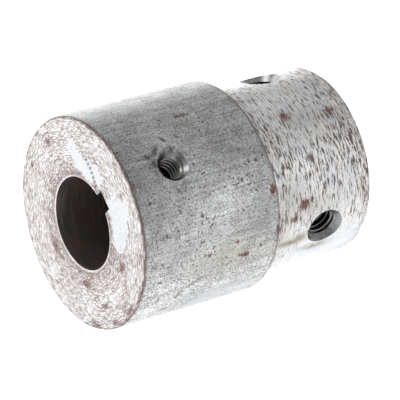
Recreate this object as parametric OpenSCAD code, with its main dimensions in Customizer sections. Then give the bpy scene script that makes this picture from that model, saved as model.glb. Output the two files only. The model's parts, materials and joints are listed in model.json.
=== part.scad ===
// Rigid sleeve coupling: a stepped steel sleeve that joins two keyed shafts end to end.
// The bore runs along X with the large end at -X, +Z is up, and -Y is the front.
// The origin is on the bore's axis, midway along the sleeve. All sizes are in millimetres.
// Angles round the sleeve count from straight up, and grow towards the front and down.

/* [Sleeve] */
// Outside diameter of the large end (2 in)
large_d = 50.8; // [50:0.1:64]
// Length of the large end (1-1/2 in)
large_len = 38.1; // [28:0.1:60]
// Outside diameter of the small end, turned down from the large end
small_d = 45; // [42:0.1:47]
// Length of the small end (1-1/8 in)
small_len = 28.6; // [24:0.1:50]
// Edge break on the sleeve's outside rims
rim_break = 0.5; // [0.1:0.1:1]
// Edge break at both mouths of the bore
bore_break = 0.3; // [0.1:0.1:1]

/* [Bore and keyway] */
// Diameter of the bore (7/8 in)
bore_d = 22.225; // [19:0.005:24]
// Width of the keyway (3/16 in)
keyway_w = 4.7625; // [3.175:0.0125:6.35]
// Height across the bore to the keyway's floor, for a 7/8 in shaft and its key
keyway_height = 24.486; // [24.3:0.001:25.5]
// Angle of the keyway round the sleeve
keyway_angle = 46; // [0:1:359]

/* [Key screw] */
// Thread diameter of the screw over the keyway (1/4-20)
key_screw_d = 6.35; // [5:0.05:7.5]
// Pitch of its thread
key_screw_pitch = 1.27; // [0.8:0.01:1.5]
// Length of the screw (3/16 in)
key_screw_len = 4.7625; // [4.5:0.0125:6.5]
// Width across the flats of its hexagon socket (1/8 in)
key_screw_socket = 3.175; // [2.5:0.005:3.2]
// Distance from the large end's face to the screw (1/2 in)
key_screw_inset = 12.8; // [8:0.1:20]
// Turns that the screw is backed out from its seat; at the most it leaves its thread
key_screw_turns = 0; // [0:0.25:7]

/* [Clamp screws] */
// Thread diameter of the screws in the small end (5/16-18)
clamp_screw_d = 7.9375; // [7:0.0125:8.5]
// Pitch of their thread
clamp_screw_pitch = 1.411; // [1:0.001:1.6]
// Length of a screw (3/16 in)
clamp_screw_len = 4.7625; // [4.5:0.0125:7]
// Width across the flats of their hexagon sockets (5/32 in)
clamp_screw_socket = 3.97; // [3:0.01:4.2]
// Distance from the small end's face to the screws (1/2 in)
clamp_screw_inset = 12.6; // [8:0.1:16]
// Angle from the keyway round to the first of the screws
clamp_screw_offset = 62; // [50:1:70]
// Turns that the screws are backed out from their seats; at the most they leave their threads
clamp_screw_turns = 0; // [0:0.25:5]

/* [Screw holes] */
// Included angle of the countersinks
sink_angle = 82; // [60:1:100]
// How much wider than its thread the mouth of a hole is, as a part of the thread's diameter
sink_extra = 0.25; // [0.1:0.01:0.3]
// Gap between a screw's thread and its hole, on the radius
thread_gap = 0.04; // [0.02:0.01:0.08]
// Gap between a seated screw's point and the bore or the keyway's floor
seat_gap = 0.05; // [0.02:0.01:0.2]

/* [Hidden] */
$fn = 96;
// Overlap that keeps a cutting tool clear of the face it cuts through
cut = 1;

total_len = large_len + small_len;
large_r = large_d / 2;
small_r = small_d / 2;
bore_r = bore_d / 2;
large_face_x = -total_len / 2;
small_face_x = total_len / 2;
shoulder_x = large_face_x + large_len;
keyway_floor_r = keyway_height - bore_r;
key_screw_x = large_face_x + key_screw_inset;
clamp_screw_x = small_face_x - clamp_screw_inset;
// The screws of the small end are evenly spaced
clamp_screw_count = 3;
clamp_screw_step = 360 / clamp_screw_count;

// Proportions of a cup-point set screw: the cup's width and depth as parts of the thread's
// diameter, the rim round the cup and the socket's depth as parts of the screw's length
cup_width = 0.54;
cup_depth = 0.13;
cup_rim = 0.05;
socket_depth = 0.58;
socket_sides = 6;
// Depth of an inch thread as a part of its pitch
thread_depth = 0.6134;

// Places its children at a station along the sleeve, with their +Z pointing out at an angle
module radially(x, angle)
    translate([x, 0, 0])
        rotate([angle, 0, 0])
            children();

// Places its children at one of the screws of the small end
module clamp_screw_place(index)
    radially(clamp_screw_x, keyway_angle + clamp_screw_offset + index * clamp_screw_step)
        children();

// A set-screw hole from inside the bore out to a surface: a plain cylinder at the thread's
// diameter with a countersunk mouth. The countersink keeps its slope past the surface.
module screw_hole(d, surface_r) {
    slope = tan(sink_angle / 2);
    sink_depth = sink_extra * d / 2 / slope;
    cylinder(d = d, h = surface_r + cut);
    translate([0, 0, surface_r - sink_depth])
        cylinder(d1 = d, d2 = d + 2 * slope * (sink_depth + cut), h = sink_depth + cut);
}

// A right-hand socket set screw that stands on its cup point, backed out by some turns.
// Its thread is a plain cylinder, chamfered to the thread's root at the socket end.
module set_screw(d, pitch, len, socket, turns) {
    screw_r = d / 2 - thread_gap;
    cup_r = cup_width * d / 2;
    chamfer = thread_depth * pitch;
    profile = [
        [0, cup_depth * d],
        [cup_r - cup_rim * len, 0],
        [cup_r, 0],
        [screw_r, screw_r - cup_r],
        [screw_r, len - chamfer],
        [screw_r - chamfer, len],
        [0, len]
    ];
    translate([0, 0, turns * pitch])
        rotate(turns * 360)
            difference() {
                rotate_extrude()
                    polygon(profile);
                translate([0, 0, len * (1 - socket_depth)])
                    cylinder(d = socket / cos(180 / socket_sides), h = len, $fn = socket_sides);
            }
}

// One screw of the small end, seated just clear of the bore
module clamp_screw(index)
    clamp_screw_place(index)
        translate([0, 0, bore_r + seat_gap])
            set_screw(clamp_screw_d, clamp_screw_pitch, clamp_screw_len, clamp_screw_socket,
                clamp_screw_turns);

// The stepped sleeve's half section, turned about the bore: x is the radius and y the station
module sleeve_section()
    polygon([
        [bore_r + bore_break, large_face_x],
        [large_r - rim_break, large_face_x],
        [large_r, large_face_x + rim_break],
        [large_r, shoulder_x - rim_break],
        [large_r - rim_break, shoulder_x],
        [small_r, shoulder_x],
        [small_r, small_face_x - rim_break],
        [small_r - rim_break, small_face_x],
        [bore_r + bore_break, small_face_x],
        [bore_r, small_face_x - bore_break],
        [bore_r, large_face_x + bore_break]
    ]);

module keyway()
    radially(0, keyway_angle)
        translate([large_face_x - cut, -keyway_w / 2, 0])
            cube([total_len + 2 * cut, keyway_w, keyway_floor_r]);

module sleeve()
    color("darkgray")
        difference() {
            rotate([0, 90, 0])
                rotate_extrude()
                    sleeve_section();
            keyway();
            radially(key_screw_x, keyway_angle)
                screw_hole(key_screw_d, large_r);
            for (index = [0 : clamp_screw_count - 1])
                clamp_screw_place(index)
                    screw_hole(clamp_screw_d, small_r);
        }

module key_screw()
    color("dimgray")
        radially(key_screw_x, keyway_angle)
            translate([0, 0, keyway_floor_r + seat_gap])
                set_screw(key_screw_d, key_screw_pitch, key_screw_len, key_screw_socket,
                    key_screw_turns);

module clamp_screw_front()
    color("dimgray") clamp_screw(0);

module clamp_screw_under()
    color("dimgray") clamp_screw(1);

module clamp_screw_top()
    color("dimgray") clamp_screw(2);

sleeve();
key_screw();
clamp_screw_front();
clamp_screw_under();
clamp_screw_top();
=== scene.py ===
"""Looks of the rigid sleeve coupling: the machined sleeve and its set screws, with real threads.

The CAD bodies give every place and size. Angles round the sleeve are leans: degrees from straight up,
towards the front (-Y). Stations are millimetres along the bore from the large end's face.
"""
import json
import math

import bmesh
import bpy
import numpy as np
from mathutils import Matrix, Vector, noise


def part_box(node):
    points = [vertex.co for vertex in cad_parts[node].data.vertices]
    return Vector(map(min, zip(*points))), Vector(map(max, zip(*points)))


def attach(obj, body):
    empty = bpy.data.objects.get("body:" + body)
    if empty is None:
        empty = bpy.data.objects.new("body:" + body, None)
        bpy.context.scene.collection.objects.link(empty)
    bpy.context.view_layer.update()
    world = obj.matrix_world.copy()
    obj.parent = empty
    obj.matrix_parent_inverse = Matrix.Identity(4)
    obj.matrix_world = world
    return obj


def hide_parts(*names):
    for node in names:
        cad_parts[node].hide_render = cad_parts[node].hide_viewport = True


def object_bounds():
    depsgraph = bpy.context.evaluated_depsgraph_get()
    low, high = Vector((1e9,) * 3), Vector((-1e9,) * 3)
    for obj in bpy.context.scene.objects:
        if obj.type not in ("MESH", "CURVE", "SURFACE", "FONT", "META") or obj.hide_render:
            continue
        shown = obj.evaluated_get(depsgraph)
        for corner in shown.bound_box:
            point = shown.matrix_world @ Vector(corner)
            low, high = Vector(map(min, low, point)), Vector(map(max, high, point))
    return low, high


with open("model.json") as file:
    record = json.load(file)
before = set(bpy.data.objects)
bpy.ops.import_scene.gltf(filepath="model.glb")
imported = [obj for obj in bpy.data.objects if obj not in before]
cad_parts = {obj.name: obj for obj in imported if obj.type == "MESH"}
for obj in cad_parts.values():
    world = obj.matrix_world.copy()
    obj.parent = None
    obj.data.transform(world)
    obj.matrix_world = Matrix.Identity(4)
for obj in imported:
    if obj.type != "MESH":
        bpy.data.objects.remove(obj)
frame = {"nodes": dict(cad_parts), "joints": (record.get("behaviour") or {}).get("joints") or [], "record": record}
CAD_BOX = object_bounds()

MM = 0.001

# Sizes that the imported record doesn't hold, in millimetres
KEYWAY_WIDTH = 4.7625
RIM_ROUND = 0.5
BORE_ROUND = 0.3
THREAD_GAP = 0.05
# Each screw's thread diameter, its pitch and the width across the flats of its socket
THREADS = {"key_screw": (6.35, 1.27, 3.175)}
for clamp_node in ("clamp_screw_front", "clamp_screw_under", "clamp_screw_top"):
    THREADS[clamp_node] = (7.9375, 1.411, 3.97)
# The countersinks' slope, and how much wider than its thread a mouth is, as a part of the thread
SINK_SLOPE = math.tan(math.radians(41))
SINK_EXTRA = 0.25
# The holes' thread as parts of its pitch: its depth, its flat crest, its flank and its flat root
TAPPED_DEPTH = 0.5413
TAPPED_CREST = 0.25
TAPPED_FLANK = 0.3125
TAPPED_ROOT = 0.125
# The screws' thread as parts of its pitch: its depth, half its crest and its flank
SCREW_DEPTH = 0.6134
SCREW_HALF_CREST = 0.03
SCREW_FLANK = 0.354
# The width and depth of a screw's cup as parts of its thread's diameter, and the cup's rim and the
# socket's depth as parts of its length
CUP_WIDTH = 0.54
CUP_DEPTH = 0.13
CUP_RIM = 0.05
SOCKET_DEPTH = 0.58
SOCKET_SIDES = 6

SLEEVE_SEGMENTS = 320
THREAD_SEGMENTS = 72
# How far a cutting tool runs past what it cuts
CUT_MARGIN = 1 * MM
# Where the taps start, as a part of the bore's radius
TAP_START = 0.55
# How far the chamfer round a socket is lifted where it leaves the screw, as a part of CUT_MARGIN
CHAMFER_LIFT = 0.6
WELD_REACH = 0.003 * MM
# Edges sharper than this, in degrees, stay crisp
CRISP_ANGLE = 28
# Differences below this, in millimetres, are ignored when a point is placed on a surface
NEAR = 0.01

mounts = {mount["name"]: mount for mount in frame["record"]["mounts"]}
sleeve_low, sleeve_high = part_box("sleeve")
LARGE_FACE_X = sleeve_low.x
SMALL_FACE_X = sleeve_high.x
SHOULDER_X = mounts["shoulder_face"]["pos_m"][0]
LARGE_R = sleeve_high.z
BORE_R = mounts["shaft_bore"]["dims"]["r_mm"] * MM
SMALL_R = max(
    math.hypot(vertex.co.y, vertex.co.z)
    for vertex in frame["nodes"]["sleeve"].data.vertices
    if vertex.co.x > SHOULDER_X + RIM_ROUND * MM
)
keyway_floor = Vector(mounts["keyway"]["pos_m"])
KEYWAY_FLOOR_R = math.hypot(keyway_floor.y, keyway_floor.z)


# ---------------------------------------------------------------- mesh building

def mesh_object(name, points, faces):
    """A new object of the scene, from its points and faces."""
    mesh = bpy.data.meshes.new(name)
    mesh.from_pydata([tuple(point) for point in points], [], faces)
    mesh.update()
    made = bpy.data.objects.new(name, mesh)
    bpy.context.scene.collection.objects.link(made)
    return made


def arc(centre, radius, start, end, steps):
    """Points on an arc in the half section, as (x, r), from one angle to another in degrees."""
    angles = np.radians(np.linspace(start, end, steps + 1))
    return [(centre[0] + radius * math.cos(a), centre[1] + radius * math.sin(a)) for a in angles]


def line(start, end, step):
    """Points strictly between two ends of a line in the half section."""
    length = math.dist(start, end)
    count = max(1, round(length / step))
    return [
        (start[0] + (end[0] - start[0]) * i / count, start[1] + (end[1] - start[1]) * i / count)
        for i in range(1, count)
    ]


def sleeve_profile():
    """The stepped sleeve's half section as a closed loop of (x, r)."""
    rim, lip = RIM_ROUND * MM, BORE_ROUND * MM
    fine, coarse = 0.4 * MM, 2 * MM
    corners = [
        arc((LARGE_FACE_X + rim, LARGE_R - rim), rim, 180, 90, 4),
        arc((SHOULDER_X - rim, LARGE_R - rim), rim, 90, 0, 4),
        [(SHOULDER_X, SMALL_R)],
        arc((SMALL_FACE_X - rim, SMALL_R - rim), rim, 90, 0, 4),
        arc((SMALL_FACE_X - lip, BORE_R + lip), lip, 360, 270, 3),
        arc((LARGE_FACE_X + lip, BORE_R + lip), lip, 270, 180, 3),
    ]
    steps = [fine, fine, fine, fine, coarse, fine]
    loop = []
    for corner, following, step in zip(corners, corners[1:] + corners[:1], steps):
        loop += corner + line(corner[-1], following[0], step)
    return loop


def revolve_loop(name, loop, segments, shift=None):
    """A ring turned round X from a closed half section. shift moves each point of the surface."""
    angles = [2 * math.pi * j / segments for j in range(segments)]
    points = []
    for x, r in loop:
        for angle in angles:
            points.append(Vector((x, -r * math.sin(angle), r * math.cos(angle))))
    if shift:
        points = [shift(point) for point in points]
    count = len(loop)
    faces = []
    for i in range(count):
        for j in range(segments):
            following, beside = (i + 1) % count, (j + 1) % segments
            faces.append((i * segments + j, following * segments + j,
                          following * segments + beside, i * segments + beside))
    return mesh_object(name, points, faces)


def turn_solid(name, outline, segments, place):
    """A solid turned round its own Z from an outline of (r, z) that starts and ends on the axis."""
    inner = outline[1:-1]
    points = [(0, 0, outline[0][1]), (0, 0, outline[-1][1])]
    for r, z in inner:
        for j in range(segments):
            angle = 2 * math.pi * j / segments
            points.append((r * math.cos(angle), r * math.sin(angle), z))
    faces = []
    for j in range(segments):
        beside = (j + 1) % segments
        faces.append((0, 2 + beside, 2 + j))
        last = 2 + (len(inner) - 1) * segments
        faces.append((1, last + j, last + beside))
        for i in range(len(inner) - 1):
            row = 2 + i * segments
            above = row + segments
            faces.append((row + j, row + beside, above + beside, above + j))
    return mesh_object(name, [place @ Vector(point) for point in points], faces)


def helical_rod(name, corners, pitch, start, turns, place):
    """A right-hand threaded rod along its own Z. corners is the profile of one pitch, as
    (part of the pitch, radius). Its rows of points follow the helix, so the crests stay crisp."""
    per_turn = len(corners)
    rows = per_turn * turns + 1
    segments = THREAD_SEGMENTS
    points = []
    for i in range(rows):
        part, radius = corners[i % per_turn]
        for j in range(segments):
            turned = j / segments
            height = start + pitch * (i // per_turn + part + turned)
            angle = 2 * math.pi * turned
            points.append((radius * math.cos(angle), radius * math.sin(angle), height))
    faces = []
    for i in range(rows - 1):
        row, above = i * segments, (i + 1) * segments
        for j in range(segments - 1):
            faces.append((row + j, row + j + 1, above + j + 1, above + j))
        if i + per_turn + 1 < rows:
            met = (i + per_turn) * segments
            faces.append((row + segments - 1, met, met + segments, above + segments - 1))
    bottom = list(range(segments)) + [i * segments for i in range(per_turn, 0, -1)]
    top_row = (rows - 1) * segments
    seam = [i * segments + segments - 1 for i in range(rows - 2, rows - 2 - per_turn, -1)]
    top = [top_row + j for j in range(segments)] + seam
    for edge, height, flip in ((bottom, start, True), (top, start + pitch * (turns + 1), False)):
        centre = len(points)
        points.append((0, 0, height))
        for first, second in zip(edge, edge[1:] + edge[:1]):
            faces.append((centre, second, first) if flip else (centre, first, second))
    return mesh_object(name, [place @ Vector(point) for point in points], faces)


def prism(name, sides, across_flats, low, high, place):
    """A regular prism along its own Z, given by its width across flats."""
    radius = across_flats / 2 / math.cos(math.pi / sides)
    points = []
    for z in (low, high):
        for j in range(sides):
            angle = 2 * math.pi * j / sides
            points.append(place @ Vector((radius * math.cos(angle), radius * math.sin(angle), z)))
    faces = [tuple(range(sides))[::-1], tuple(range(sides, 2 * sides))]
    for j in range(sides):
        beside = (j + 1) % sides
        faces.append((j, beside, sides + beside, sides + j))
    return mesh_object(name, points, faces)


def carve(target, cutter, operation="DIFFERENCE"):
    """Cuts one solid with another, keeps the result as the target's own mesh and drops the cutter."""
    boolean = target.modifiers.new("carve", "BOOLEAN")
    boolean.operation = operation
    boolean.solver = "EXACT"
    boolean.object = cutter
    bpy.context.view_layer.update()
    depsgraph = bpy.context.evaluated_depsgraph_get()
    carved = bpy.data.meshes.new_from_object(target.evaluated_get(depsgraph))
    target.modifiers.clear()
    target.data = carved
    bpy.data.objects.remove(cutter)


def weld(piece):
    """Closes the mesh: joins points that the cuts left almost on top of each other, and takes out
    the spare ones in the middle of an edge."""
    work = bmesh.new()
    work.from_mesh(piece.data)
    bmesh.ops.remove_doubles(work, verts=work.verts, dist=WELD_REACH)
    bmesh.ops.dissolve_degenerate(work, edges=work.edges, dist=WELD_REACH)
    spare = [point for point in work.verts if len(point.link_edges) == 2]
    bmesh.ops.dissolve_verts(work, verts=spare)
    work.to_mesh(piece.data)
    work.free()


# ---------------------------------------------------------------- places

def radial_place(x, axis):
    """A frame on the bore's axis at x, whose Z points out along a hole's axis."""
    out = Vector(axis).normalized()
    along = Vector((1, 0, 0))
    across = out.cross(along)
    place = Matrix((along, across, out)).transposed().to_4x4()
    place.translation = Vector((x, 0, 0))
    return place


def hole_of(joint):
    """Where a set screw's hole is, and the sizes of its thread, from the screw's joint and node."""
    node = joint["child"]
    diameter, pitch, socket = (size * MM for size in THREADS[node])
    low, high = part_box(node)
    axis = Vector(joint["axis"])
    heights = [vertex.co.dot(axis) for vertex in frame["nodes"][node].data.vertices]
    x = (low.x + high.x) / 2
    return {
        "node": node,
        "place": radial_place(x, axis),
        "surface": LARGE_R if x < SHOULDER_X else SMALL_R,
        "tip": min(heights),
        "top": max(heights),
        "diameter": diameter,
        "pitch": pitch,
        "socket": socket,
    }


HOLES = [hole_of(joint) for joint in frame["joints"]]


# ---------------------------------------------------------------- the sleeve's shape

# Nicks in the drawn surface beside the screw hole: station, lean, length, width, depth in mm,
# and the way each runs, in degrees from the bore's axis
NICKS = [
    (13.7, 30, 1.9, 0.7, 0.16, 60),
    (7.5, 38, 1.6, 0.8, 0.14, 40),
    (8.5, 42, 1.2, 0.7, 0.12, 75),
    (11.8, 59, 2.4, 0.5, 0.08, 55),
    (14.6, 114.5, 4.6, 0.5, 0.13, -28),
    (11.6, 120, 2.8, 0.6, 0.13, -62),
    (9.8, 132.5, 1.9, 0.5, 0.10, 0),
    (13.9, 106, 8.0, 0.5, 0.03, 0),
    (32.5, 109, 9.5, 0.5, 0.04, 0),
    (9.4, 47, 1.8, 0.8, 0.08, 80),
    (10.2, 35, 1.5, 0.7, 0.05, 20),
    (31.0, 47, 1.3, 0.9, 0.06, 0),
]
# Nicks in the large end's face: radius and lean, then length, width and depth in mm, and the way
# each runs, in degrees from straight outwards
FACE_NICKS = [(22.2, 290, 1.0, 0.7, 0.12, 60)]
# A row of small punched marks that runs inwards, towards the keyway
PUNCH_COUNT = 7
FACE_NICKS += [(16.8 - 0.68 * i, 6.5 + 3.4 * i, 0.95, 0.55, 0.12, 25) for i in range(PUNCH_COUNT)]
# How deep the rims are dented and how far that reaches, and how deep the drawn surface waves, in mm
RIM_WEAR = 0.09
RIM_REACH = 1.2
SKIN_WAVE = 0.025


def station_of(point):
    """How far a point is from the large end's face, in millimetres."""
    return (point.x - LARGE_FACE_X) / MM


def lean_of(point):
    """How far round from straight up a point is, in degrees towards the front."""
    return math.degrees(math.atan2(-point.y, point.z))


def nick_depth(place, lean, radius, nicks):
    """How deep some nicks cut at a place, in millimetres. The place is a station for nicks in the
    outside, or a radius for nicks in the face."""
    depth = 0.0
    for at, turned, length, width, deep, way in nicks:
        along = place - at
        if abs(along) > length:
            continue
        across = math.radians((lean - turned + 180) % 360 - 180) * radius / MM
        if abs(across) > length:
            continue
        way = math.radians(way)
        u = (along * math.cos(way) + across * math.sin(way)) / (length / 2)
        v = (across * math.cos(way) - along * math.sin(way)) / (width / 2)
        depth = max(depth, deep * math.exp(-(u ** 4 + v ** 2)))
    return depth


def worn(point):
    """Moves a point of the turned blank inwards where the real surface is worn, nicked or wavy. The
    bore and what is close to it stay as they are."""
    radius = math.hypot(point.y, point.z)
    if radius < BORE_R + 1 * MM:
        return point
    station = station_of(point)
    millimetres = point / MM
    sink = 0.0
    on_large = point.x < SHOULDER_X + NEAR * MM
    if on_large and radius > LARGE_R - 0.1 * MM:
        sink += SKIN_WAVE * (1 + noise.noise(millimetres * 0.22)) / 2
        sink += nick_depth(station, lean_of(point), radius, NICKS)
    rims = ((LARGE_FACE_X, LARGE_R), (SHOULDER_X, LARGE_R), (SMALL_FACE_X, SMALL_R))
    for rim_x, rim_r in rims:
        reach = math.hypot(point.x - rim_x, radius - rim_r) / MM
        if reach < RIM_REACH:
            dents = max(0.0, noise.noise(millimetres * 0.9) + 0.5 * noise.noise(millimetres * 2.3))
            sink += RIM_WEAR * dents * (1 - reach / RIM_REACH)
    shrink = 1 - sink * MM / radius
    inset = 0.0
    if station < NEAR:
        inset = nick_depth(radius / MM, lean_of(point), radius, FACE_NICKS) * MM
    return Vector((point.x + inset, point.y * shrink, point.z * shrink))


def internal_thread(hole):
    """The corners of one pitch of a tapped hole: the flat crest, then the groove's root."""
    major = hole["diameter"] / 2
    minor = major - TAPPED_DEPTH * hole["pitch"]
    root = TAPPED_CREST + TAPPED_FLANK
    return [(0.0, minor), (TAPPED_CREST, minor), (root, major), (root + TAPPED_ROOT, major)]


def external_thread(hole):
    """The corners of one pitch of a set screw, in mesh with its hole and just clear of it."""
    major = hole["diameter"] / 2 - THREAD_GAP * MM
    root = major - SCREW_DEPTH * hole["pitch"]
    groove = TAPPED_CREST + TAPPED_FLANK + TAPPED_ROOT / 2
    return [
        (groove - SCREW_HALF_CREST - SCREW_FLANK, root),
        (groove - SCREW_HALF_CREST, major),
        (groove + SCREW_HALF_CREST, major),
        (groove + SCREW_HALF_CREST + SCREW_FLANK, root),
    ]


def countersink(hole):
    """The cone that opens a hole's mouth. It keeps its slope past the surface."""
    major, surface = hole["diameter"] / 2, hole["surface"]
    depth = SINK_EXTRA * major / SINK_SLOPE
    below = 0.9 * major
    above = CUT_MARGIN
    bottom = surface - depth - below / SINK_SLOPE
    outline = [
        (0, bottom),
        (major - below, bottom),
        (major + (depth + above) * SINK_SLOPE, surface + above),
        (0, surface + above),
    ]
    return turn_solid("countersink", outline, THREAD_SEGMENTS, hole["place"])


def build_sleeve():
    """The sleeve: turned blank, broached keyway, then each hole tapped and countersunk."""
    sleeve = revolve_loop("sleeve_machined", sleeve_profile(), SLEEVE_SEGMENTS, worn)
    keyway_axis = keyway_floor.normalized()
    place = radial_place(0, keyway_axis)
    half_length = SMALL_FACE_X + CUT_MARGIN
    half_width = KEYWAY_WIDTH * MM / 2
    corners = [
        place @ Vector((x, y, z))
        for z in (0, KEYWAY_FLOOR_R)
        for x, y in (
            (-half_length, -half_width),
            (half_length, -half_width),
            (half_length, half_width),
            (-half_length, half_width),
        )
    ]
    sides = [(3, 2, 1, 0), (4, 5, 6, 7), (0, 1, 5, 4), (1, 2, 6, 5), (2, 3, 7, 6), (3, 0, 4, 7)]
    carve(sleeve, mesh_object("keyway_broach", corners, sides))
    for hole in HOLES:
        start = BORE_R * TAP_START
        start += (hole["tip"] - start) % hole["pitch"] - hole["pitch"]
        turns = math.ceil((hole["surface"] + CUT_MARGIN - start) / hole["pitch"])
        tap = helical_rod("tap", internal_thread(hole), hole["pitch"], start, turns, hole["place"])
        carve(sleeve, tap)
        carve(sleeve, countersink(hole))
    weld(sleeve)
    return sleeve


def build_screw(hole):
    """A cup-point socket set screw with its thread in mesh with its hole."""
    screw_r = hole["diameter"] / 2 - THREAD_GAP * MM
    length = hole["top"] - hole["tip"]
    cup_r = CUP_WIDTH * hole["diameter"] / 2
    chamfer = SCREW_DEPTH * hole["pitch"]
    chamfer_foot = length - chamfer + CHAMFER_LIFT * CUT_MARGIN
    outline = [
        (0, CUP_DEPTH * hole["diameter"]),
        (cup_r - CUP_RIM * length, 0),
        (cup_r, 0),
        (screw_r + CUT_MARGIN, screw_r + CUT_MARGIN - cup_r),
        (screw_r + CUT_MARGIN, chamfer_foot),
        (screw_r - chamfer, length),
        (0, length),
    ]
    place = hole["place"] @ Matrix.Translation((0, 0, hole["tip"]))
    name = hole["node"] + "_threaded"
    start = -2 * hole["pitch"]
    turns = math.ceil((length - start) / hole["pitch"]) + 1
    screw = helical_rod(name, external_thread(hole), hole["pitch"], start, turns, place)
    carve(screw, turn_solid("envelope", outline, THREAD_SEGMENTS, place), "INTERSECT")
    socket_floor = length * (1 - SOCKET_DEPTH)
    socket = prism("key_socket", SOCKET_SIDES, hole["socket"], socket_floor, length * 2, place)
    carve(screw, socket)
    weld(screw)
    return screw


def smooth(piece):
    """Smooth shading that stays crisp at sharp edges."""
    piece.data.shade_smooth()
    piece.data.set_sharp_from_angle(angle=math.radians(CRISP_ANGLE))


sleeve = build_sleeve()
screws = [build_screw(hole) for hole in HOLES]
for piece in (sleeve, *screws):
    smooth(piece)


# ---------------------------------------------------------------- materials

class Tree:
    """A node tree, built one value at a time."""

    def __init__(self, tree):
        self.tree = tree
        self.tree.nodes.clear()

    def add(self, kind, **settings):
        """A new node with some settings."""
        node = self.tree.nodes.new(kind)
        for key, value in settings.items():
            setattr(node, key, value)
        return node

    def link(self, value, socket):
        """Joins an output to an input, or sets the input to a plain value."""
        if isinstance(value, bpy.types.NodeSocket):
            self.tree.links.new(value, socket)
        else:
            socket.default_value = value

    def math(self, operation, a, b=0.0):
        """The result of an operation on one or two values."""
        node = self.add("ShaderNodeMath", operation=operation)
        self.link(a, node.inputs[0])
        self.link(b, node.inputs[1])
        return node.outputs[0]

    def plus(self, a, b):
        return self.math("ADD", a, b)

    def minus(self, a, b):
        return self.math("SUBTRACT", a, b)

    def times(self, a, b):
        return self.math("MULTIPLY", a, b)

    def ramp(self, value, low, high, to_low=0.0, to_high=1.0):
        """A smooth step of a value from low to high."""
        node = self.add("ShaderNodeMapRange", interpolation_type="SMOOTHSTEP")
        for put, socket in zip((value, low, high, to_low, to_high), node.inputs):
            self.link(put, socket)
        return node.outputs[0]


class Surface(Tree):
    """A procedural material's node tree. Lengths are millimetres."""

    def __init__(self, name):
        self.material = bpy.data.materials.new(name)
        self.material.use_nodes = True
        super().__init__(self.material.node_tree)
        enlarge = self.add("ShaderNodeVectorMath", operation="MULTIPLY")
        self.link(self.add("ShaderNodeTexCoord").outputs["Object"], enlarge.inputs[0])
        self.link((1 / MM, 1 / MM, 1 / MM), enlarge.inputs[1])
        self.place = enlarge.outputs[0]
        split = self.add("ShaderNodeSeparateXYZ")
        self.link(self.place, split.inputs[0])
        self.x, self.y, self.z = split.outputs
        square = self.plus(self.times(self.y, self.y), self.times(self.z, self.z))
        self.radius = self.math("SQRT", square)

    def around(self, along, round_about, outward=0.0):
        """A place measured along the bore, round it and outwards, each by its own frequency."""
        reach = LARGE_R / MM * round_about
        y = self.times(self.math("DIVIDE", self.y, self.radius), reach)
        z = self.times(self.math("DIVIDE", self.z, self.radius), reach)
        node = self.add("ShaderNodeCombineXYZ")
        far = self.plus(self.times(self.x, along), self.times(self.radius, outward))
        for value, socket in zip((far, y, z), node.inputs):
            self.link(value, socket)
        return node.outputs[0]

    def noise(self, scale, detail=3.0, roughness=0.5, at=None):
        """Noise from 0 to 1, by default at the object's own place."""
        node = self.add("ShaderNodeTexNoise")
        self.link(at or self.place, node.inputs["Vector"])
        self.link(scale, node.inputs["Scale"])
        self.link(detail, node.inputs["Detail"])
        self.link(roughness, node.inputs["Roughness"])
        return node.outputs["Fac"]

    def mix(self, factor, first, second):
        """A colour between two colours."""
        node = self.add("ShaderNodeMix", data_type="RGBA")
        self.link(factor, node.inputs["Factor"])
        for colour, socket in ((first, node.inputs[6]), (second, node.inputs[7])):
            self.link(colour if isinstance(colour, bpy.types.NodeSocket) else (*colour, 1), socket)
        return node.outputs[2]

    def blend(self, factor, first, second):
        """A value between two values, or beyond them where the factor is."""
        node = self.add("ShaderNodeMix", data_type="FLOAT", clamp_factor=False)
        self.link(factor, node.inputs[0])
        self.link(first, node.inputs[2])
        self.link(second, node.inputs[3])
        return node.outputs[0]

    def solid(self, colour):
        """The same colour everywhere."""
        node = self.add("ShaderNodeRGB")
        node.outputs[0].default_value = (*colour, 1)
        return node.outputs[0]

    def shade(self, colour, factor):
        """A colour made darker or lighter by a factor."""
        node = self.add("ShaderNodeVectorMath", operation="SCALE")
        self.link(colour, node.inputs[0])
        self.link(factor, node.inputs["Scale"])
        return node.outputs[0]

    def painted(self, name):
        """A value that was painted on the mesh's points."""
        return self.add("ShaderNodeAttribute", attribute_name=name).outputs["Fac"]

    def finish(self, colour, metallic, roughness, height, depth):
        """Ends the tree with a metal of this colour and roughness, whose height is in depth mm."""
        shader = self.add("ShaderNodeBsdfPrincipled")
        bump = self.add("ShaderNodeBump")
        self.link(height, bump.inputs["Height"])
        self.link(1.0, bump.inputs["Strength"])
        self.link(depth * MM, bump.inputs["Distance"])
        self.link(bump.outputs[0], shader.inputs["Normal"])
        self.link(colour, shader.inputs["Base Color"])
        self.link(metallic, shader.inputs["Metallic"])
        self.link(roughness, shader.inputs["Roughness"])
        output = self.add("ShaderNodeOutputMaterial")
        self.link(shader.outputs[0], output.inputs["Surface"])
        return self.material


RUST_DARK = (0.085, 0.030, 0.022)
RUST_LIGHT = (0.24, 0.10, 0.072)
PIT_COLOUR = (0.075, 0.068, 0.064)


def rusted(s, colour, metallic, roughness, rust):
    """Lays rust over a finish: brown, dull and not metallic."""
    tone = s.mix(s.ramp(s.noise(1.6, 4), 0.38, 0.66), RUST_DARK, RUST_LIGHT)
    return (
        s.mix(rust, colour, tone),
        s.times(metallic, s.minus(1.0, rust)),
        s.plus(roughness, s.times(rust, 0.3)),
    )


def rust_cover(s, low, high):
    """How much rust covers a place: the painted spots, broken up by fine noise."""
    broken = s.times(s.noise(2.0, 4, 0.6), 2.0)
    return s.times(s.ramp(s.plus(s.painted("rust"), broken), low, high), 0.92)


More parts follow.
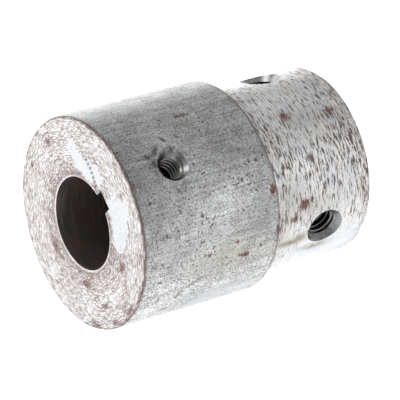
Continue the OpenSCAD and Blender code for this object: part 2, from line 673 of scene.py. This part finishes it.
def drawn_steel():
    """The large end's outside: raw drawn bar, mottled grey with fine grain and small dark pits."""
    s = Surface("drawn_steel")
    mottle = s.noise(0.30, 4, 0.6)
    grain = s.noise(2.6, 4, 0.75)
    lines = s.noise(1.0, 4, 0.65, at=s.around(0.06, 1.3))
    clean = s.painted("clean")
    colour = s.mix(s.ramp(mottle, 0.38, 0.62), (0.40, 0.403, 0.407), (0.50, 0.507, 0.51))
    colour = s.shade(colour, s.ramp(lines, 0.3, 0.7, 0.82, 1.16))
    colour = s.shade(colour, s.plus(1.0, s.painted("tone")))
    speckle = s.ramp(grain, 0.34, 0.58, 0.44, 1.30)
    strong = s.ramp(s.z, -15, 5, 1.65, 1.0)
    speckle = s.blend(strong, 1.0, speckle)
    colour = s.shade(colour, s.blend(s.times(clean, 0.8), speckle, 1.05))
    colour = s.mix(s.times(s.painted("stain"), 0.35), colour, (0.42, 0.39, 0.30))
    colour = s.mix(s.times(clean, 0.5), colour, (0.48, 0.52, 0.56))
    patches = s.times(s.noise(0.16, 2), 0.10)
    gather = s.plus(patches, s.times(s.painted("pits"), 0.055))
    pits = s.ramp(s.plus(s.noise(1.5, 1.5, 0.5), gather), 0.71, 0.75)
    scars = s.ramp(s.plus(s.noise(0.75, 2.5, 0.55), gather), 0.725, 0.75)
    pits = s.math("MAXIMUM", s.math("MAXIMUM", pits, scars), s.painted("nick"))
    colour = s.mix(s.times(pits, 0.8), colour, PIT_COLOUR)
    colour = s.mix(s.times(s.painted("edge"), 0.75), colour, (0.12, 0.085, 0.07))
    grime_and_shade = s.times(s.painted("grime_and_shade"), s.ramp(s.noise(0.9, 4, 0.6), 0.38, 0.56))
    colour = s.mix(s.times(grime_and_shade, 0.8), colour, (0.10, 0.08, 0.07))
    rust = rust_cover(s, 1.53, 1.76)
    roughness = s.ramp(grain, 0.2, 0.8, 0.36, 0.5)
    colour, metallic, roughness = rusted(s, colour, 1.0, roughness, rust)
    height = s.minus(s.times(grain, 0.5), pits)
    return s.finish(colour, metallic, roughness, height, 0.03)


def turned_steel():
    """The small end's outside: turned, with fine rings and short brown flecks along them."""
    s = Surface("turned_steel")
    rings = s.noise(1.0, 3, 0.6, at=s.around(4.2, 0.08))
    flecks = s.noise(1.0, 3.5, 0.62, at=s.around(2.6, 0.42))
    grain = s.noise(2.6, 3, 0.7)
    mottle = s.noise(0.2, 4, 0.6)
    base = s.mix(s.ramp(mottle, 0.45, 0.7), (0.78, 0.78, 0.77), (0.68, 0.72, 0.77))
    ring_shade = s.ramp(s.x, SHOULDER_X / MM, SHOULDER_X / MM + 9, 0.62, 0.9)
    base = s.shade(base, s.ramp(rings, 0.3, 0.7, ring_shade, 1.03))
    base = s.shade(base, s.ramp(grain, 0.36, 0.62, 0.88, 1.10))
    # Painted light and shade: the turned surface is made lighter going up from the front, and darker again along
    # the very top, for how the light falls on it
    base = s.shade(base, s.ramp(s.z, 21.2, 22.4, 1.0, 0.84))
    base = s.shade(base, s.ramp(s.z, -2, 12, 0.80, 1.24))
    base = s.shade(base, s.plus(1.0, s.painted("tone")))
    worn_in = s.times(s.painted("rust"), 0.08)
    worn_in = s.plus(worn_in, s.times(s.painted("pits"), 0.05))
    worn_in = s.minus(worn_in, s.times(s.painted("clean"), 0.045))
    worn_in = s.plus(worn_in, s.ramp(s.z, -8, 12, -0.018, 0.0))
    by_shoulder = s.ramp(s.x, SHOULDER_X / MM + 1, SHOULDER_X / MM + 8, 0.028, 0.0)
    worn_in = s.plus(worn_in, by_shoulder)
    level = s.plus(s.plus(flecks, worn_in), s.times(mottle, 0.09))
    dull = s.ramp(level, 0.557, 0.597)
    dark = s.ramp(level, 0.621, 0.656)
    brown = s.mix(s.ramp(s.noise(0.5, 3), 0.42, 0.58), (0.07, 0.06, 0.055), (0.15, 0.085, 0.065))
    tarnish = s.times(s.painted("rust"), s.ramp(s.noise(0.35, 4, 0.6), 0.35, 0.6, 0.0, 0.9))
    base = s.mix(tarnish, base, (0.36, 0.30, 0.27))
    colour = s.mix(s.times(dull, 0.42), base, (0.32, 0.27, 0.25))
    colour = s.mix(s.times(dark, 0.92), colour, brown)
    colour = s.mix(s.times(s.painted("clean"), 0.5), colour, (0.62, 0.655, 0.69))
    stain = s.times(s.painted("stain"), s.ramp(s.noise(0.8, 4, 0.7), 0.30, 0.48))
    colour = s.mix(s.times(stain, 0.9), colour, (0.19, 0.155, 0.09))
    colour = s.shade(colour, s.blend(s.painted("edge"), 1.0, 0.45))
    roughness = s.ramp(rings, 0.2, 0.8, 0.34, 0.46)
    metallic = s.minus(1.0, s.times(dark, 0.5))
    colour, metallic, roughness = rusted(s, colour, metallic, roughness, rust_cover(s, 1.53, 1.76))
    height = s.minus(s.times(rings, 0.6), s.times(dark, 0.6))
    return s.finish(colour, metallic, roughness, height, 0.02)


def faced_steel():
    """The end faces and the shoulder: facing marks in rings, with pinkish brown flecks along them."""
    s = Surface("faced_steel")
    rings = s.noise(1.0, 3, 0.6, at=s.around(0.0, 0.08, 3.4))
    flecks = s.noise(1.0, 4, 0.66, at=s.around(0.0, 0.52, 4.6))
    hairlines = s.noise(1.0, 2, 0.6, at=s.around(0.0, 0.8, 3.0))
    clouds = s.noise(0.2, 3, 0.5)
    base = s.shade(s.solid((0.62, 0.62, 0.63)), s.ramp(rings, 0.3, 0.7, 0.84, 1.12))
    base = s.mix(s.ramp(hairlines, 0.525, 0.57, 0.0, 0.72), base, (0.25, 0.20, 0.185))
    ragged = s.plus(s.times(flecks, -1.7), s.times(s.noise(0.7, 4, 0.6), 0.5))
    clean = s.ramp(s.plus(s.painted("clean"), ragged), -0.25, 0.35)
    gather = s.plus(s.times(clouds, 0.2), s.times(s.painted("rust"), 0.14))
    gather = s.plus(gather, s.ramp(s.radius, BORE_R / MM, BORE_R / MM + 8, 0.07, 0.0))
    level = s.minus(s.plus(flecks, gather), s.times(clean, 0.5))
    haze = s.ramp(level, 0.597, 0.632)
    dark = s.ramp(level, 0.654, 0.689)
    colour = s.mix(s.times(haze, 0.55), base, (0.28, 0.22, 0.205))
    colour = s.mix(s.times(dark, 0.8), colour, (0.14, 0.088, 0.072))
    colour = s.mix(s.times(clean, 0.78), colour, (0.455, 0.48, 0.50))
    colour = s.mix(s.times(s.painted("nick"), 0.95), colour, PIT_COLOUR)
    # Painted highlight: a thin white line on the bore's chamfer, where its bright edge catches the light
    colour = s.mix(s.times(s.painted("lip"), 0.6), colour, (0.95, 0.95, 0.95))
    colour = s.shade(colour, s.blend(s.painted("edge"), 1.0, 0.55))
    roughness = s.minus(0.42, s.times(clean, 0.12))
    metallic = s.minus(1.0, s.times(dark, 0.5))
    colour, metallic, roughness = rusted(s, colour, metallic, roughness, rust_cover(s, 1.66, 2.02))
    height = s.times(s.minus(rings, s.times(dark, 0.5)), s.minus(1.0, clean))
    return s.finish(colour, metallic, roughness, height, 0.02)


def bored_steel():
    """The bore and keyway: dark, oxidised and slightly brown, with faint boring rings."""
    s = Surface("bored_steel")
    rings = s.noise(1.0, 2, 0.6, at=s.around(2.2, 0.05))
    blotch = s.noise(0.25, 4, 0.6)
    colour = s.mix(s.ramp(blotch, 0.4, 0.65), (0.15, 0.13, 0.12), (0.20, 0.13, 0.11))
    colour = s.mix(s.ramp(rings, 0.5, 0.75), colour, (0.21, 0.22, 0.23))
    roughness = s.ramp(rings, 0.3, 0.7, 0.32, 0.5)
    return s.finish(colour, 0.7, roughness, rings, 0.02)


def tapped_steel():
    """The threads: cut steel gone dark, rubbed bare on the crests, which also carry a painted highlight, and
    lighter near the mouth as painted light.
    """
    s = Surface("tapped_steel")
    haze = s.noise(1.4, 4, 0.6)
    bare_and_lit = s.ramp(s.painted("crest"), 0.3, 1.0)
    colour = s.mix(s.ramp(haze, 0.35, 0.65), (0.075, 0.067, 0.064), (0.16, 0.15, 0.145))
    # Painted highlight and wear: the crests are lighter as bare steel catching the light, and the turns by the
    # mouth are lighter as painted light
    colour = s.mix(s.times(bare_and_lit, 0.8), colour, (0.29, 0.285, 0.28))
    roughness = s.ramp(haze, 0.3, 0.7, 0.2, 0.34)
    return s.finish(colour, 1.0, roughness, haze, 0.01)


def countersunk_steel():
    """The countersinks: smooth bright cut steel."""
    s = Surface("countersunk_steel")
    haze = s.noise(1.2, 4, 0.6)
    colour = s.mix(s.ramp(haze, 0.3, 0.7), (0.29, 0.285, 0.28), (0.43, 0.43, 0.425))
    # Painted shade and dirt: the countersink is darker where these spots lie, for shade falling in the hole's
    # mouth as well as grime
    colour = s.shade(colour, s.blend(s.painted("grime_and_shade"), 1.0, 0.25))
    roughness = s.ramp(haze, 0.3, 0.7, 0.24, 0.34)
    return s.finish(colour, 1.0, roughness, haze, 0.008)


def screw_steel():
    """The set screws: black oxide on alloy steel, rubbed a little bare."""
    s = Surface("black_oxide_steel")
    haze = s.noise(2.0, 4, 0.65)
    colour = s.mix(s.ramp(haze, 0.35, 0.7), (0.035, 0.036, 0.04), (0.12, 0.12, 0.125))
    roughness = s.ramp(haze, 0.3, 0.7, 0.3, 0.5)
    return s.finish(colour, 0.9, roughness, haze, 0.01)


# ---------------------------------------------------------------- where each finish goes

FINISHES = [
    drawn_steel(),
    turned_steel(),
    faced_steel(),
    bored_steel(),
    tapped_steel(),
    countersunk_steel(),
]
DRAWN, TURNED, FACED, BORED, TAPPED, COUNTERSUNK = range(len(FINISHES))


def surface_frame(piece):
    """Each face's centre and normal, and its radius from the bore's axis, as arrays."""
    count = len(piece.data.polygons)
    centres = np.empty(count * 3)
    normals = np.empty(count * 3)
    piece.data.polygons.foreach_get("center", centres)
    piece.data.polygons.foreach_get("normal", normals)
    centres, normals = centres.reshape(-1, 3), normals.reshape(-1, 3)
    return centres, normals, np.hypot(centres[:, 1], centres[:, 2])


def about_hole(points, hole):
    """How far along a hole's axis some points are, counted from the bore's axis, and how far off it."""
    axis = np.array(hole["place"].col[2][:3])
    along = points @ axis
    off = points - np.outer(along, axis)
    off[:, 0] -= hole["place"].translation.x
    return along, np.linalg.norm(off, axis=1)


def assign_finishes(piece):
    """Gives each face of the sleeve the finish of the tool that cut it."""
    centres, normals, radius = surface_frame(piece)
    facing_along = np.abs(normals[:, 0])
    lip_start = BORE_R + 0.2 * BORE_ROUND * MM
    finish = np.where(centres[:, 0] < SHOULDER_X - 0.05 * MM, DRAWN, TURNED)
    finish[facing_along > 0.75] = FACED
    finish[radius < lip_start] = BORED
    finish[(radius < KEYWAY_FLOOR_R * 1.02) & (facing_along < 0.5)] = BORED
    on_lip = (radius > lip_start) & (radius < BORE_R + BORE_ROUND * MM)
    finish[on_lip & (facing_along > 0.2)] = FACED
    outward = np.abs((normals * centres)[:, 1:].sum(1)) / radius > 0.97
    for hole in HOLES:
        along, away = about_hole(centres, hole)
        mouth_r = hole["diameter"] / 2 * (1 + SINK_EXTRA)
        skin = outward & (np.abs(radius - hole["surface"]) < 0.06 * MM)
        inside = (away < mouth_r + 0.1 * MM) & (along > BORE_R * 0.9) & ~skin
        inside &= radius > BORE_R + 0.05 * MM
        finish[inside] = TAPPED
        cone_r = mouth_r + (along - hole["surface"]) * SINK_SLOPE
        opening = normals @ np.array(hole["place"].col[2][:3]) > 0.5
        finish[inside & opening & (np.abs(away - cone_r) < 0.03 * MM)] = COUNTERSUNK
    for material in FINISHES:
        piece.data.materials.append(material)
    piece.data.polygons.foreach_set("material_index", finish.astype(np.int32))
    piece.data.update()


# Rust spots on the outside: station and lean, then half-length along and half-width round, in mm
RUST_SPOTS = [
    (36.7, 72, 1.2, 2.1),
    (37.5, 95, 0.7, 2.6),
    (25.9, 95, 0.8, 0.8),
    (28.6, 104, 2.0, 1.0),
    (18.3, 98, 1.0, 0.8),
    (0.6, 52, 0.9, 2.0),
    (22.5, 18, 2.8, 0.8),
    (48.8, 32, 1.4, 1.7),
    (47.2, 88, 1.7, 1.8),
    (49.4, 86, 0.7, 1.0),
    (60.9, 36, 0.9, 1.5),
    (51.2, 62, 0.5, 1.2),
    (63.4, 58, 0.5, 1.3),
    (44.6, 96, 1.6, 0.9),
    (7.5, 215, 1.6, 1.0),
    (30.2, 248, 1.2, 1.9),
    (17.0, 290, 2.2, 0.8),
    (37.4, 312, 0.8, 1.8),
    (50.5, 205, 1.2, 1.5),
    (60.4, 262, 1.0, 1.7),
    (45.8, 318, 1.4, 1.2),
]
# Thin rust, given as RUST_SPOTS is
RUST_HAZE = [
    (10.0, 9, 9.0, 1.6),
    (23.0, 19, 3.5, 1.8),
    (28.0, 103, 5.0, 3.5),
    (2.0, 88, 2.0, 12.0),
    (48.0, 90, 3.5, 3.0),
    (61.0, 50, 5.0, 9.0),
]
# Rust on the large end's face: radius and lean, then half-length outwards and half-width round
FACE_RUST = [
    (19.9, 152, 0.9, 1.8),
    (23.9, 147, 0.7, 2.2),
    (24.2, 166, 0.8, 2.0),
    (24.3, 127, 0.8, 2.2),
    (14.9, 175, 1.2, 2.2),
    (16.9, 108, 1.4, 2.0),
    (14.7, 230, 1.4, 3.0),
    (21.0, 319, 1.2, 1.2),
    (22.2, 290, 0.5, 0.6),
]
# Smooth, clean patches on the large end's face, given as FACE_RUST is
CLEAN_PATCHES = [
    (18.0, 347, 2.0, 1.9),
    (15.4, 356, 2.3, 2.2),
    (14.6, 10, 2.4, 3.0),
    (15.4, 23, 1.8, 2.6),
    (14.8, 57, 2.2, 2.2),
    (17.8, 61, 3.4, 2.8),
    (16.2, 72, 3.2, 3.4),
    (15.2, 85, 2.4, 3.0),
]
# A clean patch under the large end, given as RUST_SPOTS is
CLEAN_SKIN = [(26.0, 133, 7.0, 3.0), (20.0, 138, 4.0, 2.4)]
# Where the turned surface has fewer flecks, given as RUST_SPOTS is
CLEAN_TURNED = [(57.0, 124, 10.0, 6.0)]
# Grime round and in the screw holes, with painted shade in the countersinks, given as RUST_SPOTS is
GRIME_AND_SHADE = [
    (11.0, 37, 3.0, 2.2),
    (8.6, 44, 1.6, 2.0),
    (14.2, 37.5, 2.2, 1.5),
    (15.8, 42, 1.2, 2.4),
    (58.6, -3.5, 1.8, 1.8),
    (54.1, 108, 5.0, 5.0),
]
# Old oil stains, given as RUST_SPOTS is
STAINS = [
    (44.4, 113, 4.2, 1.0),
    (47.0, 111, 1.9, 1.3),
    (52.6, 123, 3.4, 1.1),
    (24.0, 103, 13.0, 5.0),
]
# Lighter and darker areas of the outside, given as RUST_SPOTS is, then how much lighter each is
TONES = [
    (23.5, 68, 6.5, 5.0, 0.33),
    (3.5, 73, 5.5, 8.0, -0.22),
    (33.5, 84, 5.5, 6.5, -0.27),
    (18.0, 95, 4.0, 4.0, 0.15),
    (12.5, 31, 4.5, 5.0, 0.32),
    (18.0, 45, 3.0, 3.0, 0.28),
    (1.5, 45, 3.5, 6.0, -0.20),
    (19.0, 4, 40.0, 4.0, -0.14),
    (8.5, 115, 5.0, 5.0, 0.18),
    (15.5, 127, 4.0, 4.0, -0.12),
    (23.0, 137, 9.0, 4.0, -0.11),
    (44.5, 79, 3.5, 4.0, -0.28),
    (45.0, 104, 4.5, 4.0, 0.18),
    (62.5, 101, 5.0, 6.0, 0.27),
    (57.5, 80, 6.0, 4.5, -0.10),
    (59.8, 54, 3.5, 4.0, 0.32),
    (52.5, 36, 5.5, 3.0, -0.22),
    (57.0, 14, 5.0, 3.0, -0.13),
    (52.0, -1, 14.0, 3.5, -0.13),
    (55.5, 126, 4.5, 3.0, -0.25),
]
# Where the outside is pitted or flecked most, given as RUST_SPOTS is
PITTED = [
    (29.5, 62, 6.5, 6.0),
    (3.6, 82, 3.0, 2.4),
    (4.2, 61, 2.6, 1.6),
    (14.0, 84, 8.0, 6.0),
    (45.0, 94, 2.6, 1.6),
    (44.0, 52, 5.0, 7.0),
    (53.0, 68, 6.0, 6.0),
    (62.5, 62, 3.0, 9.0),
]
SHOULDER = (SHOULDER_X - LARGE_FACE_X) / MM
END = (SMALL_FACE_X - LARGE_FACE_X) / MM
# Rust along the rims: station and radius of each, how far the rust reaches and how strong it is
RUSTY_RIMS = [
    (0, LARGE_R / MM, 0.6, 0.75),
    (SHOULDER, LARGE_R / MM, 0.6, 0.8),
    (SHOULDER, SMALL_R / MM, 0.6, 0.5),
    (END, SMALL_R / MM, 0.6, 0.65),
    (0, BORE_R / MM + 0.9, 0.6, 0.35),
]
# Dark lines along the edges, given as RUSTY_RIMS is
DARK_EDGES = [
    (0.3, LARGE_R / MM, 0.35, 1),
    (SHOULDER - 0.2, LARGE_R / MM, 0.55, 1),
    (SHOULDER, SMALL_R / MM, 0.5, 1),
    (END - 0.1, SMALL_R / MM, 0.4, 1),
]
# The depth in millimetres at which a nick is as dirty as it gets
FULL_NICK = 0.08


def blobs(first, lean, reach, spots):
    """How far each point is inside the nearest of some soft-edged spots, from 0 to 1."""
    level = np.zeros(len(first))
    for at, turned, half_first, half_round in spots:
        across = np.radians((lean - turned + 180) % 360 - 180) * reach
        apart = ((first - at) / half_first) ** 2 + (across / half_round) ** 2
        level = np.maximum(level, np.exp(-apart))
    return level


def along_rims(station, radius, rims):
    """How near each point is to some rims, from 0 to each rim's strength."""
    level = np.zeros(len(station))
    for rim_station, rim_radius, reach, strength in rims:
        gap = np.hypot(station - rim_station, radius - rim_radius)
        level = np.maximum(level, strength * np.exp(-((gap / reach) ** 2)))
    return level


def nicked(station, lean, radius, on_face):
    """How dirty the nicks are at some points, from 0 to 1."""
    level = np.zeros(len(station))
    for i in range(len(station)):
        if on_face[i]:
            depth = nick_depth(radius[i], lean[i], radius[i] * MM, FACE_NICKS)
        elif station[i] < SHOULDER:
            depth = nick_depth(station[i], lean[i], radius[i] * MM, NICKS)
        else:
            depth = 0
        level[i] = min(1.0, depth / FULL_NICK)
    return level


def thread_crest(points):
    """How bare and how lit each point of a thread is, from 0 to 1: rubbed bare with a painted highlight on the
    crests, and painted light near the mouth that fades deeper in.
    """
    level = np.zeros(len(points))
    for hole in HOLES:
        along, away = about_hole(points, hole)
        major = hole["diameter"] / 2
        minor = major - TAPPED_DEPTH * hole["pitch"]
        near = np.clip((major - away) / (major - minor), 0, 1)
        depth = (hole["surface"] - along) / MM
        shallow = np.clip(1 - (depth - 1) / 1.6, 0, 1)
        lit = np.maximum(level, 0.75 * near + 0.6 * shallow)
        level = np.where((away < 1.01 * major) & (along > 0), lit, level)
    return level


def rust_level(station, lean, radius, on_face):
    """How rusty each point is, from 0 to 1: in spots, along the rims and near the small end's face."""
    spots = np.where(on_face, blobs(radius, lean, radius, FACE_RUST),
                     blobs(station, lean, radius, RUST_SPOTS))
    outside = (station > SHOULDER + 1) & (radius > SMALL_R / MM - 0.6)
    near_end = np.where(outside, 0.42 * np.exp(-(((station - END) / 5.0) ** 2)), 0)
    haze = 0.45 * blobs(station, lean, radius, RUST_HAZE)
    rims = along_rims(station, radius, RUSTY_RIMS)
    return np.maximum.reduce([spots, rims, haze, near_end])


def clean_level(station, lean, radius, on_face):
    """How smooth and clean each point is, from 0 to 1."""
    clean = np.where(on_face, blobs(radius, lean, radius, CLEAN_PATCHES),
                     blobs(station, lean, radius, CLEAN_SKIN + CLEAN_TURNED))
    return np.clip(1.6 * np.where(station > END - 0.1, 0, clean), 0, 1)


def paint(piece):
    """Paints marks and wear on the sleeve's points, for its materials to use."""
    mesh = piece.data
    points = np.empty(len(mesh.vertices) * 3)
    mesh.vertices.foreach_get("co", points)
    points = points.reshape(-1, 3)
    station = (points[:, 0] - LARGE_FACE_X) / MM
    radius = np.hypot(points[:, 1], points[:, 2]) / MM
    lean = np.degrees(np.arctan2(-points[:, 1], points[:, 2]))
    on_face = np.abs(station) < 0.6
    painted = {
        "tone": sum(gain * blobs(station, lean, radius, [area]) for *area, gain in TONES),
        "rust": rust_level(station, lean, radius, on_face),
        "edge": along_rims(station, radius, DARK_EDGES),
        "stain": blobs(station, lean, radius, STAINS),
        "clean": clean_level(station, lean, radius, on_face),
        "pits": blobs(station, lean, radius, PITTED),
        "nick": nicked(station, lean, radius, on_face),
        "grime_and_shade": blobs(station, lean, radius, GRIME_AND_SHADE),
        "crest": thread_crest(points),
        # The lip is a painted highlight along the bore's chamfer on the face
        "lip": np.where(on_face, np.exp(-(((radius - BORE_R / MM - 0.1) / 0.2) ** 2)), 0),
    }
    for name, level in painted.items():
        layer = mesh.attributes.new(name, "FLOAT", "POINT")
        layer.data.foreach_set("value", level.astype(np.float32))


assign_finishes(sleeve)
paint(sleeve)
screw_finish = screw_steel()
for screw, hole in zip(screws, HOLES):
    screw.data.materials.append(screw_finish)
    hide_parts(hole["node"])
    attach(screw, hole["node"])
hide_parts("sleeve")
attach(sleeve, "sleeve")


# ---------------------------------------------------------------- the studio

# In metres, degrees and, for the lens and its sensor, millimetres
FLOOR_SIZE = 6.0
VIEW_AZIMUTH = -35.59
VIEW_ELEVATION = 23.30
VIEW_DISTANCE = 0.840
VIEW_LENS = 321.4
VIEW_SENSOR = 36
VIEW_REACH = 20
AIM = Vector((-0.49, -0.73, -2.05)) * MM


def lay_floor():
    """A plain pale floor under the sleeve that glows like a light table, more so at the back."""
    half = FLOOR_SIZE / 2
    corners = [(-half, -half, 0), (half, -half, 0), (half, half, 0), (-half, half, 0)]
    floor = mesh_object("floor", corners, [(0, 1, 2, 3)])
    floor.location.z = CAD_BOX[0][2]
    s = Surface("pale_floor")
    shade = s.mix(s.noise(0.02, 2), (0.5, 0.5, 0.5), (0.54, 0.54, 0.54))
    material = s.finish(shade, 0.0, 0.6, s.noise(0.5, 2), 0.01)
    shader = next(n for n in material.node_tree.nodes if n.type == "BSDF_PRINCIPLED")
    shader.inputs["Emission Color"].default_value = (1, 1, 1, 1)
    glow = s.plus(s.ramp(s.y, -56, -14, 0.76, 1.28), s.ramp(s.y, 0, 60, 0.0, 0.15))
    s.link(glow, shader.inputs["Emission Strength"])
    floor.data.materials.append(material)


def light_tent():
    """A tent of soft light: pale at the horizon, grey overhead, with bright panels at the back and side
    and a darker gap round the camera. The camera itself sees a plain white backdrop."""
    world = bpy.data.worlds.new("light_tent")
    world.use_nodes = True
    bpy.context.scene.world = world
    t = Tree(world.node_tree)
    coordinate = t.add("ShaderNodeTexCoord").outputs["Generated"]

    def towards(way, low, high, to_low, to_high):
        """A smooth step of how nearly a direction points one way, from low to high."""
        node = t.add("ShaderNodeVectorMath", operation="DOT_PRODUCT")
        t.link(coordinate, node.inputs[0])
        t.link(Vector(way).normalized(), node.inputs[1])
        return t.ramp(node.outputs["Value"], low, high, to_low, to_high)

    ceiling = towards((0, 0, 1), 0.18, 0.68, 1.2, 0.62)
    back_panel = towards((0, 1, 0), 0.58, 0.90, 0.0, 1.3)
    side_panel = towards((-0.58, 0.21, 0.79), 0.94, 0.99, 0.0, 3.6)
    camera_gap = towards((-0.53, -0.75, 0.33), 0.85, 0.97, 1.0, 0.55)
    tent = t.add("ShaderNodeBackground")
    t.link(t.times(t.plus(t.plus(ceiling, back_panel), side_panel), camera_gap), tent.inputs["Strength"])
    backdrop = t.add("ShaderNodeBackground")
    t.link(1.3, backdrop.inputs["Strength"])
    choose = t.add("ShaderNodeMixShader")
    t.link(t.add("ShaderNodeLightPath").outputs["Is Camera Ray"], choose.inputs["Fac"])
    t.link(tent.outputs[0], choose.inputs[1])
    t.link(backdrop.outputs[0], choose.inputs[2])
    t.link(choose.outputs[0], t.add("ShaderNodeOutputWorld").inputs["Surface"])


def set_camera():
    """A camera that looks at the sleeve from the photo's viewing angle."""
    azimuth, elevation = math.radians(VIEW_AZIMUTH), math.radians(VIEW_ELEVATION)
    back = Vector((
        math.sin(azimuth) * math.cos(elevation),
        -math.cos(azimuth) * math.cos(elevation),
        math.sin(elevation),
    ))
    data = bpy.data.cameras.new("camera")
    data.lens = VIEW_LENS
    data.sensor_width = VIEW_SENSOR
    data.clip_end = VIEW_REACH
    camera = bpy.data.objects.new("camera", data)
    bpy.context.scene.collection.objects.link(camera)
    camera.location = AIM + back * VIEW_DISTANCE
    camera.rotation_euler = back.to_track_quat("Z", "Y").to_euler()
    bpy.context.scene.camera = camera


lay_floor()
light_tent()
set_camera()
bpy.context.scene.view_settings.view_transform = "Standard"
